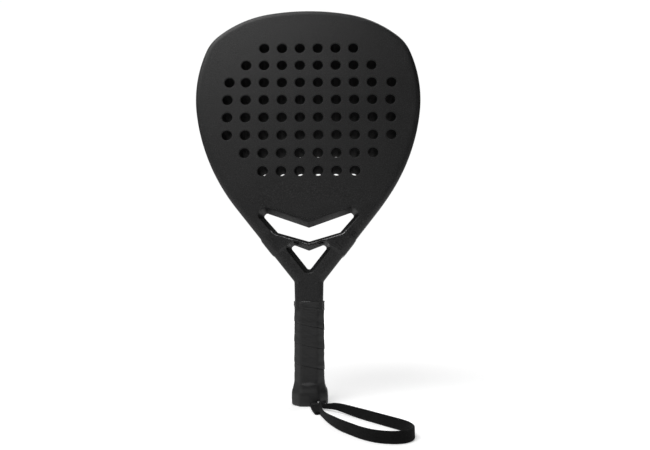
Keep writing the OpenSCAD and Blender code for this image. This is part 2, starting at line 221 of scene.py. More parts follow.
MAT["pallet"] = moulded("pallet_polyurethane", (0.45, 0.36, 0.2), 0.6)
MAT["cap"] = moulded("cap_plastic", (0.014, 0.014, 0.014), 0.5)


def wrap(name, base, rough, pores=0.0, grain=1.0):
    """Tacky polyurethane film on a felt back: fine leathery crease, soft blotches from use, faint stretch lines."""
    g = Graph(name)
    skin = g.voronoi(1500.0)
    fine = g.noise(2400.0, 3.0, 0.6)
    use = g.noise(60.0, 4.0, 0.6, stretch=(1, 1, 1.6))
    stretch = g.noise(160.0, 2.0, 0.5, stretch=(0.25, 0.25, 2.6), distortion=0.6)
    tone = g.mix(g.ramp(use, 0.35, 0.68), tuple(c * 0.8 for c in base), tuple(c * 1.3 for c in base))
    color = g.mix(g.ramp(fine, 0.62, 0.8, 0.0, 0.3), tone, tuple(c * 2.2 for c in base))
    height = g.math("ADD", g.math("MULTIPLY", skin, 0.6), g.math("MULTIPLY", fine, 0.6))
    normal = g.bump(height, 0.00008 * grain, 0.9)
    normal = g.bump(stretch, 0.0004 * grain, 0.55, normal)
    if pores:
        dots = g.voronoi(300.0)
        normal = g.bump(g.ramp(dots, 0.0, 0.25), 0.0003 * pores, 0.8, normal)
    return g.finish(color, g.ramp(use, 0.3, 0.7, rough - 0.07, rough + 0.08), normal, 0.34, sheen=0.03)


MAT["overgrip"] = wrap("overgrip_film", (0.0055, 0.0055, 0.0057), 0.52)
# painted highlight: a paler film for the ridge above the flare
MAT["ridge"] = wrap("ridge_painted_highlight_film", (0.024, 0.024, 0.0244), 0.46, grain=0.6)
MAT["tape"] = wrap("finishing_tape_film", (0.0055, 0.0055, 0.0057), 0.46, grain=0.7)
MAT["cushion"] = wrap("cushion_grip_foam", (0.02, 0.02, 0.02), 0.7, pores=1.0)


def webbing(name, base):
    g = Graph(name)
    yarn = g.noise(1800.0, 3.0, 0.65)
    fuzz = g.noise(420.0, 2.0, 0.5)
    color = g.mix(g.ramp(yarn, 0.35, 0.7), tuple(c * 0.55 for c in base), tuple(c * 1.5 for c in base))
    normal = g.bump(yarn, 0.0002, 0.8)
    return g.finish(color, g.ramp(fuzz, 0.3, 0.7, 0.8, 0.92), normal, 0.12, sheen=0.05)


MAT["webbing"] = webbing("strap_webbing", (0.0024, 0.0024, 0.0025))
MAT["thread"] = webbing("bonded_thread", (0.03, 0.03, 0.03))


def steel(name):
    g = Graph(name)
    drawn = g.noise(900.0, 2.0, 0.5, stretch=(0.2, 1, 1))
    return g.finish((0.62, 0.62, 0.64), g.ramp(drawn, 0.3, 0.7, 0.22, 0.38), g.bump(drawn, 0.00002, 0.6), 0.5, metallic=1.0)


MAT["steel"] = steel("staple_wire")

for node, key in (("front_face_sheet", "face"), ("rear_face_sheet", "face"), ("core_foam", "core"), ("frame_tube", "frame"),
                  ("frame_foam", "filler"), ("arm_foam", "filler"), ("head_bridge", "frame"), ("head_bridge_foam", "filler"),
                  ("throat_bridge", "bridge"), ("throat_bridge_foam", "filler"), ("handle_foam", "filler"),
                  ("front_pallet", "pallet"), ("rear_pallet", "pallet"), ("butt_cap", "cap"), ("base_grip", "cushion"),
                  ("overgrip", "overgrip"), ("finishing_tape", "tape"), ("grip_staples", "steel"), ("wrist_strap", "webbing"),
                  ("strap_tail", "webbing"), ("strap_knot", "webbing"), ("strap_stitching", "thread")):
    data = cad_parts[node].data
    data.materials.clear()
    data.materials.append(MAT[key])


# ------------------------------------------------------------------ mesh helpers
def make_object(name, verts_mm, faces, mat, nodes=(), merge=0.0004, sharp=40.0, flip=False):
    me = bpy.data.meshes.new(name)
    me.from_pydata([tuple(float(c) * MM for c in v) for v in verts_mm], [], [tuple(int(i) for i in f) for f in faces])
    bm = bmesh.new()
    bm.from_mesh(me)
    bmesh.ops.remove_doubles(bm, verts=bm.verts, dist=merge * MM)
    bad = [f for f in bm.faces if f.calc_area() < 1e-14]
    if bad:
        bmesh.ops.dissolve_degenerate(bm, edges=bm.edges, dist=1e-7)
    bmesh.ops.recalc_face_normals(bm, faces=bm.faces)
    bm.to_mesh(me)
    bm.free()
    ob = bpy.data.objects.new(name, me)
    scene.collection.objects.link(ob)
    me.materials.append(mat)
    shade(ob, sharp)
    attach(ob, "root")
    if nodes:
        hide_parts(*nodes)
    return ob


def shade(ob, sharp):
    me = ob.data
    me.polygons.foreach_set("use_smooth", [True] * len(me.polygons))
    me.set_sharp_from_angle(angle=rad(sharp))


def catmull(points, per):
    """Catmull-Rom through rows of numbers, per steps to a span."""
    p = np.array(points, float)
    out = []
    for i in range(len(p) - 1):
        a, b, c, d = p[max(i - 1, 0)], p[i], p[i + 1], p[min(i + 2, len(p) - 1)]
        for k in range(per):
            t = k / per
            out.append(0.5 * (2 * b + (c - a) * t + (2 * a - 5 * b + 4 * c - d) * t * t + (3 * b - a - 3 * c + d) * t ** 3))
    out.append(p[-1])
    return np.array(out)


def resample(p, step):
    """Rows of p (x, y, z, ...) at an even step along x, y, z."""
    seg = np.linalg.norm(np.diff(p[:, :3], axis=0), axis=1)
    at = np.concatenate([[0], np.cumsum(seg)])
    n = max(2, int(round(at[-1] / step)) + 1)
    want = np.linspace(0, at[-1], n)
    return np.stack([np.interp(want, at, p[:, k]) for k in range(p.shape[1])], axis=1), want


# ------------------------------------------------------------------ wrist strap: one flat woven webbing
# x, y, z of the centreline, the lean of the webbing's width from upright, and its height: it is gathered where it leaves the butt
LOOP = [[10.4, -20, 3.2, 40, 5.4], [11.0, -29, 2.8, 30, 4.8], [11.9, -39, 2.4, 16, 4.4], [13.3, -50, 2.7, 6, 4.9], [15.8, -62, 3.3, 0, 6.2],
        [19.2, -75, 4.0, 0, 7.6], [23.6, -88, 4.7, 0, 9.0], [29.8, -101.5, 5.05, 0, 9.8], [38.2, -114, 5.1, 0, 9.9], [47, -125.5, 5.1, 0, 9.9],
        [57, -133.5, 5.1, 0, 9.9], [68, -137.2, 5.1, 0, 9.9], [78.5, -136.6, 5.1, 0, 9.9], [86.3, -131, 5.1, 0, 9.9], [89.8, -122, 5.1, 0, 9.9],
        [88.2, -112.5, 5.1, 0, 9.9], [83, -103.8, 5.1, 0, 9.9], [76, -95.5, 5.1, 0, 9.9], [66, -83.8, 5.1, 0, 9.9], [54.8, -70.5, 5.1, 0, 9.9],
        [45, -59.5, 5.3, 0, 9.4], [36, -50, 5.9, 0, 8.4], [27.8, -42, 6.1, 0, 7.0], [21, -35, 4.8, -8, 5.6], [16.2, -29, 3.4, -24, 4.8],
        [13.2, -21.5, 3.4, -40, 5.2]]


def ribbon(name, route, thick, nodes, step=0.3, rib=1.15, amp=0.15, mat="webbing"):
    """Woven flat webbing: cross ribs that alternate between the two halves of each rib column, and rounded selvedges."""
    fine, at = resample(catmull(route, 24), step)
    p, lean, wide = fine[:, :3], np.radians(fine[:, 3]), fine[:, 4]
    full = wide.max()
    f = np.gradient(p, axis=0)
    f /= np.linalg.norm(f, axis=1)[:, None]
    side = np.cross([0, 0, 1.0], f)
    side /= np.linalg.norm(side, axis=1)[:, None]
    upv = np.cross(f, side)
    u = np.cos(lean)[:, None] * upv + np.sin(lean)[:, None] * side
    v = np.cross(f, u)
    m = 15
    a = np.linspace(-1, 1, m)
    verts, faces = [], []
    sec = []
    for s in (1, -1):
        for k in range(m):
            e = a[k] * s
            sec.append((e, s))
    n = len(sec)
    for i in range(len(p)):
        width = wide[i]
        gathered = thick * (full / width) ** 0.8
        for e, s in sec:
            x = e * width / 2
            edge = max(0.0, (abs(e) - 0.8) / 0.2)
            t = gathered / 2 * math.sqrt(max(0.0, 1 - edge ** 2 * 0.92))
            col = math.floor((x / width + 0.5) * 8)
            phase = at[i] / rib * 2 * math.pi + (math.pi if int(col) % 2 else 0.0) + (0.5 if s < 0 else 0.0)
            t += amp * math.sin(phase) * (1 - 0.6 * edge) - amp * 0.6 * (1 if abs(((x / width + 0.5) * 8) % 1 - 0.5) > 0.42 else 0)
            verts.append(p[i] + x * u[i] + s * t * v[i])
    for i in range(len(p) - 1):
        for k in range(n):
            j = (k + 1) % n
            faces.append((i * n + k, (i + 1) * n + k, (i + 1) * n + j, i * n + j))
    for i in (0, len(p) - 1):
        for k in range(m - 1):
            faces.append((i * n + k, i * n + k + 1, i * n + 2 * m - 2 - k, i * n + 2 * m - 1 - k))
    ob = make_object(name, verts, faces, MAT[mat], nodes, sharp=60.0)
    return ob, p, at[-1]


strap, strap_path, strap_len = ribbon("strap_loop", LOOP, 1.7, ("wrist_strap",))

# ------------------------------------------------------------------ outline of the racket, in millimetres
RADIUS = [270, 124.5, 48, 150, 230]
SWEEP = [10, 30.5, 28, 29.5, 30.5]
TURN = [sum(SWEEP[:i]) for i in range(6)]
CENTRE = [np.array([0.0, 450 - 270])]
for i in range(1, 5):
    k = RADIUS[i - 1] - RADIUS[i]
    CENTRE.append(CENTRE[-1] + k * np.array([sin(rad(TURN[i])), cos(rad(TURN[i]))]))


def on_arc(i, t, d):
    return CENTRE[i] + (RADIUS[i] - d) * np.array([sin(rad(t)), cos(rad(t))])


ARM_E = on_arc(4, TURN[5], 0)
ARM_A = rad(TURN[5] - 90)
DOWN = np.array([-sin(ARM_A), -cos(ARM_A)])
INW = np.array([-cos(ARM_A), sin(ARM_A)])


def arm_pt(s, n):
    return ARM_E + s * DOWN + n * INW


def arc_points(d, last=None, step=1.6):
    last = TURN[5] if last is None else last
    out = []
    for i in range(5):
        a, b = TURN[i], min(TURN[i + 1], last)
        if b <= a:
            break
        n = max(1, math.ceil((b - a) / step))
        out += [on_arc(i, a + (b - a) * k / n, d) for k in range(0 if i == 0 else 1, n + 1)]
    return out


def mirrored(half):
    """Closed loop from the points of the right half, crown first."""
    return np.array(list(half) + [(-x, z) for x, z in reversed(half) if x > 1e-6])


NECK_TOP, NECK_LOW = (16.0, 128.0), (15.3, 100.0)
NECK_DIR = np.array([NECK_LOW[0] - NECK_TOP[0], NECK_LOW[1] - NECK_TOP[1]]) / math.hypot(NECK_LOW[0] - NECK_TOP[0], NECK_LOW[1] - NECK_TOP[1])
NECK_IN = np.array([NECK_DIR[1], -NECK_DIR[0]])


def full_outline(d, rf=5.0):
    """Half the silhouette at inset d: arcs, straight arm, fillet, neck down to z = 100."""
    half = arc_points(d)
    a0, b0 = arm_pt(0, d), np.array(NECK_TOP) + d * NECK_IN
    m = np.array([[DOWN[0], -NECK_DIR[0]], [DOWN[1], -NECK_DIR[1]]])
    s, t = np.linalg.solve(m, b0 - a0)
    corner = a0 + s * DOWN
    turn = math.acos(float(np.clip(DOWN @ NECK_DIR, -1, 1)))
    r = rf + d
    cut = r * math.tan(turn / 2)
    s_end = s - cut
    n = 46
    half += [a0 + DOWN * s_end * k / n for k in range(1, n + 1)]
    c = corner - DOWN * cut - INW * r
    for k in range(1, 8):
        ang = turn * k / 8
        w = INW * cos(ang) + DOWN * sin(ang)
        half.append(c + r * w)
    e = corner + NECK_DIR * cut
    low = e + NECK_DIR * ((NECK_LOW[1] - e[1]) / NECK_DIR[1])
    half += [e + (low - e) * k / 12 for k in range(0, 13)]
    return half


def s_of(x, z):
    return (ARM_E[0] - abs(x)) * -DOWN[0] + (ARM_E[1] - z) * -DOWN[1]


def n_of(x, z):
    return (ARM_E[0] - abs(x)) * -INW[0] - (ARM_E[1] - z) * INW[1]


def h_frame(x, z):
    """Half depth of the frame: flat head, a soft dip and rise above the bridge sleeve, then the tapering arms and the neck."""
    s = s_of(x, z)
    if z > 235:
        return 19.0
    if s > 43.95:
        return float(np.interp(s, [43.95, 48, 70, 102, 107], [18.72, 17.7, 16.85, 14.9, 14.7]))
    dip = float(np.interp(s, [16, 22, 30, 36, 38, 40, 42, 43.9], [0, 0.12, 0.5, 0.9, 0.9, 0.72, 0.36, 0.2]))
    return 19.0 - dip * float(np.interp(n_of(x, z), [15.5, 20.0], [1.0, 0.0]))


def h_bridge(x, z):
    n = n_of(x, z)
    s = s_of(x, z) if n < 14 else (220.76 - z) / 0.7826
    return float(np.interp(s, [44, 45.2, 66.6, 67.4, 69.4, 70], [18.75, 19.0, 17.95, 17.85, 17.0, 16.8]))


# ------------------------------------------------------------------ plates with a rounded edge
def inside(px, pz, loop):
    """Even-odd test of many points against one closed loop."""
    hit = np.zeros(len(px), bool)
    x0, z0 = loop.min(0)
    x1, z1 = loop.max(0)
    near = np.where((px >= x0) & (px <= x1) & (pz >= z0) & (pz <= z1))[0]
    if not len(near):
        return hit
    qx, qz = px[near], pz[near]
    a, b = loop, np.roll(loop, -1, axis=0)
    odd = np.zeros(len(near), bool)
    for (ax, az), (bx, bz) in zip(a, b):
        if az == bz:
            continue
        cross = ((az > qz) != (bz > qz)) & (qx < (bx - ax) * (qz - az) / (bz - az) + ax)
        odd ^= cross
    hit[near] = odd
    return hit


def triangulate(outer, holes=(), lines=()):
    """Triangles of the area inside outer and outside the holes, with every loop and line as edges."""
    pts, edges = [], []
    for loop in [outer, *holes]:
        base = len(pts)
        pts += [Vector((float(x), float(z))) for x, z in loop]
        edges += [(base + k, base + (k + 1) % len(loop)) for k in range(len(loop))]
    for line in lines:
        base = len(pts)
        pts += [Vector((float(x), float(z))) for x, z in line]
        edges += [(base + k, base + k + 1) for k in range(len(line) - 1)]
    v, _, f, _, _, _ = delaunay_2d_cdt(pts, edges, [], 0, 1e-5)
    v = np.array([(q[0], q[1]) for q in v])
    f = np.array([t for t in f if len(t) == 3])
    c = v[f].mean(axis=1)
    keep = inside(c[:, 0], c[:, 1], np.array(outer))
    for h in holes:
        keep &= ~inside(c[:, 0], c[:, 1], np.array(h))
    return v, f[keep]


class Builder:
    def __init__(self):
        self.v, self.f = [], []

    def ring(self, points):
        base = len(self.v)
        self.v += [tuple(p) for p in points]
        return list(range(base, base + len(points)))

    def strip(self, a, b):
        n = len(a)
        for k in range(n):
            self.f.append((a[k], a[(k + 1) % n], b[(k + 1) % n], b[k]))

    def area(self, v, f, y_of):
        base = len(self.v)
        self.v += [(x, y_of(x, z), z) for x, z in v]
        self.f += [tuple(base + int(i) for i in t) for t in f]


EDGE_RATIO = 0.66


def plate(name, outline, r, H, holes=(), hole_rim=0.0, lines=(), mat="frame", nodes=(), back=None, seg=8,
          rows=3, sharp=40.0):
    """Solid with both faces at depth H(x, z), edges rounded by r. back: a flat y for the far side instead of the mirrored face.
    holes: closed loops as functions of their growth, cut straight through with a rim rounded by hole_rim."""
    b = Builder()
    deep = r * EDGE_RATIO
    prof = [(r * (1 - cos(math.pi / 2 * k / seg)), deep * (1 - sin(math.pi / 2 * k / seg))) for k in range(seg + 1)] if r else [(0.0, 0.0)]
    loops = [(mirrored(outline(d)), drop) for d, drop in prof]
    if r:
        loops.append((mirrored(outline(r + 0.25)), 0.0))
    sides = (1,) if back is not None else (1, -1)
    for s in sides:
        rings = [b.ring([(x, -s * (H(x, z) - drop), z) for x, z in loop]) for loop, drop in loops]
        for k in range(len(rings) - 1):
            b.strip(rings[k], rings[k + 1])
    walls = []
    loop = loops[0][0]
    if back is None:
        for k in range(rows + 1):
            w = 1 - 2 * k / rows
            walls.append(b.ring([(x, -w * (H(x, z) - deep), z) for x, z in loop]))
    else:
        walls = [b.ring([(x, -(H(x, z) - deep), z) for x, z in loop]), b.ring([(x, back, z) for x, z in loop])]
    for k in range(len(walls) - 1):
        b.strip(walls[k], walls[k + 1])
    hp = [(0.0, hole_rim), (hole_rim * 0.12, hole_rim * 0.5), (hole_rim * 0.5, hole_rim * 0.12), (hole_rim, 0.0), (hole_rim + 0.2, 0.0)] if hole_rim else [(0.0, 0.0)]
    hole_loops = []
    for hole in holes:
        grown = [(np.array(hole(g)), drop) for g, drop in hp]
        for s in sides:
            rings = [b.ring([(x, -s * (H(x, z) - drop), z) for x, z in lp]) for lp, drop in grown]
            for k in range(len(rings) - 1):
                b.strip(rings[k], rings[k + 1])
        lp, drop = grown[0]
        low = [(x, back, z) for x, z in lp] if back is not None else [(x, H(x, z) - drop, z) for x, z in lp]
        b.strip(b.ring([(x, -(H(x, z) - drop), z) for x, z in lp]), b.ring(low))
        hole_loops.append((grown[-1][0], lp))
    v, f = triangulate(loops[-1][0], [h[0] for h in hole_loops], lines)
    b.area(v, f, lambda x, z: -H(x, z))
    if back is None:
        b.area(v, f, lambda x, z: H(x, z))
    else:
        v, f = triangulate(loops[0][0], [h[1] for h in hole_loops])
        b.area(v, f, lambda x, z: back)
    return make_object(name, b.v, b.f, MAT[mat], nodes, sharp=sharp)


# ------------------------------------------------------------------ throat windows
UPPER = [[0, 176, 2], [35.5, 186.3, 3], [52, 205, 2.5], [48.5, 208.9, 2.5], [0, 191.8, 2],
         [-48.5, 208.9, 2.5], [-52, 205, 2.5], [-35.5, 186.3, 3]]
LOWER = [[0, 142.8, 3], [20.6, 168.8, 2.5], [16.5, 171.8, 2.5], [0, 165.5, 2], [-16.5, 171.8, 2.5], [-20.6, 168.8, 2.5]]


def unit(v):
    return v / np.linalg.norm(v)


def window_ring(w, d, arc=6, step=2.0):
    """Rounded corners and evenly split sides of a window grown by d. Every d gives the same number of points."""
    n = len(w)
    P = [np.array(q[:2], float) for q in w]

    def out(a, b):
        t = unit(b - a)
        return np.array([t[1], -t[0]])
    moved = []
    for i in range(n):
        a, b = out(P[i - 1], P[i]), out(P[i], P[(i + 1) % n])
        moved.append(P[i] + d * (a + b) / (1 + a @ b))
    pts = []
    corners = []
    for i in range(n):
        a, b = out(P[i - 1], P[i]), out(P[i], P[(i + 1) % n])
        bends_out = a[0] * b[1] - a[1] * b[0] > 0
        p, q0, q1 = moved[i], moved[i - 1], moved[(i + 1) % n]
        u, v = unit(q0 - p), unit(q1 - p)
        half = math.acos(float(np.clip(u @ v, -1, 1))) / 2
        r = w[i][2] + d * 0.9 if bends_out else max(w[i][2] - d, 0.8)
        s = r / math.tan(half)
        c = p + unit(u + v) * r / sin(half)
        e0, e1 = unit(p + u * s - c), unit(p + v * s - c)
        a0 = math.atan2(e0[1], e0[0])
        da = (math.atan2(e1[1], e1[0]) - a0 + math.pi) % (2 * math.pi) - math.pi
        corners.append([c + r * np.array([cos(a0 + da * k / arc), sin(a0 + da * k / arc)]) for k in range(arc + 1)])
    for i in range(n):
        pts += corners[i]
        a, b = corners[i][-1], corners[(i + 1) % n][0]
        m = max(1, int(round(np.linalg.norm(P[(i + 1) % n] - P[i]) / step)))
        pts += [a + (b - a) * k / m for k in range(1, m)]
    return np.array(pts)


LEAN = 4.0
# depth below the face, growth; then the mid-plane crest
RIM = [(-4.0, LEAN + 1.35), (0.0, LEAN + 1.35), (0.1, LEAN + 1.12), (0.22, LEAN + 0.96), (1.0, LEAN + 0.18), (1.18, LEAN + 0.04), (1.5, LEAN - 0.1)]
CREST = [(1.3, 0.34), (0.7, 0.12), (0.0, 0.04)]


def window_cutter(name, w, H):
    b = Builder()
    rings = []
    for s in (-1, 1):
        part = [(b.ring([(x, s * (H(x, z) - dep), z) for x, z in window_ring(w, g)])) for dep, g in RIM]
        part += [(b.ring([(x, s * y, z) for x, z in window_ring(w, g)])) for y, g in CREST[:-1]]
        if s < 0:
            rings += part + [b.ring([(x, 0.0, z) for x, z in window_ring(w, CREST[-1][1])])]
        else:
            rings += part[::-1]
    for k in range(len(rings) - 1):
        b.strip(rings[k], rings[k + 1])
    first, last = rings[0], rings[-1]
    v, f = triangulate(window_ring(w, RIM[0][1]))
    b.area(v, f, lambda x, z: -(H(x, z) - RIM[0][0]))
    b.area(v, f, lambda x, z: H(x, z) - RIM[0][0])
    me = bpy.data.meshes.new(name)
    me.from_pydata([tuple(float(c) * MM for c in q) for q in b.v], [], b.f)
    bm = bmesh.new()
    bm.from_mesh(me)
    bmesh.ops.remove_doubles(bm, verts=bm.verts, dist=0.0004 * MM)
    bmesh.ops.recalc_face_normals(bm, faces=bm.faces)
    bm.to_mesh(me)
    bm.free()
    ob = bpy.data.objects.new(name, me)
    scene.collection.objects.link(ob)
    return ob


def cut(ob, cutter, sharp=40.0):
    m = ob.modifiers.new("cut", "BOOLEAN")
    m.operation = "DIFFERENCE"
    m.solver = "EXACT"
    m.object = cutter
    bake(ob)
    shade(ob, sharp)


def bake(ob):
    """Every modifier of ob into its mesh."""
    bpy.context.view_layer.update()
    deps = bpy.context.evaluated_depsgraph_get()
    me = bpy.data.meshes.new_from_object(ob.evaluated_get(deps), preserve_all_data_layers=True, depsgraph=deps)
    old = ob.data
    ob.modifiers.clear()
    ob.data = me
    bpy.data.meshes.remove(old)


def weigh(ob):
    m = ob.modifiers.new("normals", "WEIGHTED_NORMAL")
    m.keep_sharp = True
    m.weight = 80
    bake(ob)


SHEET_LOW, SHEET_LAST = 198.5, 126


def sheet_half(d=0.0):
    pts = arc_points(9 + d, SHEET_LAST)
    low = np.array([0.0, SHEET_LOW + d * 1.05])
    return pts + [low]


# frame: the whole silhouette less the sheet, the yoke and the V bar
def cross_line(s, reach=30.0, edge=6.9):
    a, b = arm_pt(s, edge), arm_pt(s, reach)
    right_side = [a + (b - a) * k / 3 for k in range(4)]
    return [np.array(right_side), np.array([(-x, z) for x, z in right_side])]


frame_lines = []
for s in (22, 30, 36, 38, 40, 42, 43.9, 48, 70):
    frame_lines += cross_line(s, 20.0 if s < 44 else 14.0)
frame_lines += cross_line(102, 15.0)
for n_in in (15.5, 17.5):
    frame_lines += [np.array([arm_pt(q, n_in) for q in (16, 22, 30, 36, 38, 40, 42, 43.9)]), np.array([arm_pt(q, n_in) * [-1, 1] for q in (16, 22, 30, 36, 38, 40, 42, 43.9)])]


def yoke_half(d=0.0):
    """The band between the sheet and the upper window. Its lower edge runs inside the window."""
    pts = arc_points(9 + d, SHEET_LAST)
    top = pts[-1]
    low = np.array([0.0, SHEET_LOW + d])
    end = arm_pt(20, 19.5)
    return [low, top, end, arm_pt(27, 22), np.array([20.0, 192.5]), np.array([0.0, 185.5])]


def loop_of(half):
    half = [np.array(p, float) for p in half]
    return np.array(half + [np.array([-p[0], p[1]]) for p in reversed(half) if p[0] > 1e-6])


gap = 0.0
head_hole = arc_points(9, SHEET_LAST) + [arm_pt(20, 19.5), arm_pt(27, 22), np.array([20.0, 192.5]), np.array([0.0, 185.5])]
bar_hole = [np.array([0.0, 180.5]), arm_pt(44.5, 26), arm_pt(44.5, 17.2), arm_pt(69.5, 17.2), arm_pt(69.5, 22.1), arm_pt(73.5, 24.5), np.array([0.0, 160.0])]

tube = plate("frame_shell", full_outline, 6.5, h_frame, holes=[lambda g: loop_of(head_hole), lambda g: loop_of(bar_hole)], lines=frame_lines,
             mat="frame", nodes=("frame_tube",))
cut_up = window_cutter("cut_up", UPPER, h_frame)
cut_low = window_cutter("cut_low", LOWER, h_frame)
cut(tube, cut_up)
cut(tube, cut_low)

yoke = plate("yoke", lambda d: [tuple(p) for p in yoke_half(gap)], 0.0, h_frame, mat="frame", nodes=("head_bridge",), rows=1)
cut(yoke, cut_up)


def h_cut_bridge(x, z):
    return h_bridge(x, z)


SLEEVE_SIDE = [(44.0, -0.1), (44.7, 0.1), (45.6, 0.42), (46.6, 0.74), (47.8, 0.95), (49.2, 1.0), (53, 1.0), (57, 1.0), (61, 1.0), (64.6, 1.0),
               (66, 0.95), (67.2, 0.74), (68.3, 0.42), (69.3, 0.1), (70.0, -0.1)]


def sleeve_outline(d):
    """Right half of the sleeve and bar, seen from the front, at inset d from its outer side."""
    half = [np.array([0.0, 180.5]), arm_pt(44.0, 26.0), arm_pt(44.0, 14.0), arm_pt(44.0, 9.0)]
    half += [arm_pt(q, d - proud) for q, proud in SLEEVE_SIDE]
    half += [arm_pt(70.0, 9.0), arm_pt(70.0, 14.0), arm_pt(70.0, 22.1), arm_pt(73.5, 24.5), np.array([0.0, 160.0])]
    return half


def bridge_solid(name):
    """The sleeve's cross section round the outside of the arm, joined to the bar; both rounded like the frame's edge."""
    b = Builder()
    r = 7.0
    deep = r * EDGE_RATIO
    prof = [(r * (1 - cos(math.pi / 2 * k / 8)), deep * (1 - sin(math.pi / 2 * k / 8))) for k in range(9)] + [(r + 0.25, 0.0)]
    loops = [(loop_of(sleeve_outline(d)), drop) for d, drop in prof]
    base = loop_of(sleeve_outline(0))
    first, count = 4, len(SLEEVE_SIDE)
    total = len(base)
    outer = np.array([first <= i < first + count or first <= total - i < first + count for i in range(total)])
    for s in (1, -1):
        rings = [b.ring([(x, -s * (h_bridge(x, z) - (drop if outer[i] else 0.0)), z) for i, (x, z) in enumerate(loop)]) for loop, drop in loops]
        for k in range(len(rings) - 1):
            n = len(base)
            for i in range(n):
                j = (i + 1) % n
                if outer[i] and outer[j]:
                    b.f.append((rings[k][i], rings[k][j], rings[k + 1][j], rings[k + 1][i]))
    # walls: the rounded outer side, then the two cut ends as fans, then the plain stretches inside the windows
    n = len(base)
    for i in range(n):
        j = (i + 1) % n
        if outer[i] and outer[j]:
            for k in range(3):
                y0, y1 = 1 - 2 * k / 3, 1 - 2 * (k + 1) / 3
                q = []
                for idx, y in ((i, y0), (j, y0), (j, y1), (i, y1)):
                    x, z = base[idx]
                    q.append((x, -y * (h_bridge(x, z) - deep), z))
                b.f.append(tuple(b.ring(q)))
    lines = []
    for q in (45.2, 66.6, 67.4, 69.4):
        lines += cross_line(q, 16.0, 7.6)
    v, f = triangulate(loops[-1][0], (), lines)
    b.area(v, f, lambda x, z: -h_bridge(x, z))
    b.area(v, f, lambda x, z: h_bridge(x, z))
    # cut ends and inner sides: one polygon each between the front and rear profiles
    ends = [i for i in range(n) if outer[i] and not (outer[(i - 1) % n] and outer[(i + 1) % n])]
    for i in range(n):
        j = (i + 1) % n
        if outer[i] and outer[j]:
            continue
        if outer[i] or outer[j]:
            o, p = (i, j) if outer[i] else (j, i)
            front = [(loop[o][0], -(h_bridge(*loop[o]) - drop), loop[o][1]) for loop, drop in loops]
            side = [(base[o][0], -y * (h_bridge(*base[o]) - deep), base[o][1]) for y in (1 / 3, -1 / 3)]
            rear = [(x, -y, z) for x, y, z in reversed(front)]
            px, pz = base[p]
            far = [(px, h_bridge(px, pz), pz), (px, -h_bridge(px, pz), pz)]
            b.f.append(tuple(b.ring(front + side + rear + far)))
        else:
            (x0, z0), (x1, z1) = base[i], base[j]
            b.f.append(tuple(b.ring([(x0, -h_bridge(x0, z0), z0), (x1, -h_bridge(x1, z1), z1), (x1, h_bridge(x1, z1), z1), (x0, h_bridge(x0, z0), z0)])))
    return make_object(name, b.v, b.f, MAT["bridge"], ("throat_bridge",))


bar = bridge_solid("v_bridge")
cut_up_b = window_cutter("cut_up_b", UPPER, h_cut_bridge)
cut_low_b = window_cutter("cut_low_b", LOWER, h_cut_bridge)
cut(bar, cut_up_b)
cut(bar, cut_low_b)


def paint_window_shade_and_highlight(ob):
    """Painted shade and highlight: darker, less glossy walls inside the windows, and a paler upper edge of the V bar as
    its painted highlight.
    """
    mid = np.array([tuple(f.center / MM) for f in ob.data.polygons])
    upper, lower = (inside(mid[:, 0], mid[:, 2], window_ring(w, LEAN + 1.7)) for w in (UPPER, LOWER))
    ob.data.materials.append(MAT["inner"])
    ob.data.materials.append(MAT["edge"])
    for f in ob.data.polygons:
        if not (upper[f.index] or lower[f.index]):
            continue
        if abs(f.normal.y) < 0.55:
            f.material_index = 1
        elif upper[f.index] and 0.5 < abs(f.normal.y) < 0.9 and f.normal.z > 0.25 and ob is bar:
            f.material_index = 2


for c in (cut_up, cut_low, cut_up_b, cut_low_b):
    bpy.data.objects.remove(c)

# ------------------------------------------------------------------ faces and core with the drilled holes
ROWS = [6, 8, 10, 10, 10, 10, 8, 6]
HOLES = []
for j in range(8):
    m = ROWS[7 - j]
    for i in range(m):
        HOLES.append(((i - (m - 1) / 2) * 20.8 + (0.5 if j < 2 else 1.0) + (1.9 if j == 5 and i in (0, m - 1) else 0.0), 254.0 + 21.0 * j))


def circle(cx, cz, r):
    return lambda g: [(cx + (r + g) * cos(2 * math.pi * k / 44), cz + (r + g) * sin(2 * math.pi * k / 44)) for k in range(44)]


drill = [circle(x, z, 5.9) for x, z in HOLES]
face_front = plate("face_front", lambda d: sheet_half(gap + d), 0.0, lambda x, z: h_frame(x, z), holes=drill, hole_rim=0.55, mat="face",
                   nodes=("front_face_sheet",), back=-17.8)
face_rear = plate("face_rear", lambda d: sheet_half(gap + d), 0.0, lambda x, z: h_frame(x, z), holes=drill, hole_rim=0.55, mat="face",
                  nodes=("rear_face_sheet",), back=-17.8)
face_rear.data.transform(Matrix.Scale(-1, 4, (0, 1, 0)))
face_rear.data.flip_normals()


def core_half(d=0.0):
    pts = arc_points(14.1, 123.8)
    low = np.array([0.0, 208.1])
    return pts + [low]


core = plate("core_block", core_half, 0.0, lambda x, z: 17.78, holes=[circle(x, z, 5.4 if z < 280 else 5.65) for x, z in HOLES], mat="core", nodes=("core_foam",), rows=1)
for ob in (tube, yoke, bar, face_front, face_rear, core):
    weigh(ob)
for ob, key in ((tube, "frame"), (yoke, "frame"), (bar, "bridge"), (face_front, "face"), (face_rear, "face"), (core, "core")):
    ob.data.materials.clear()
    ob.data.materials.append(MAT[key])
for ob in (tube, yoke, bar):
    paint_window_shade_and_highlight(ob)

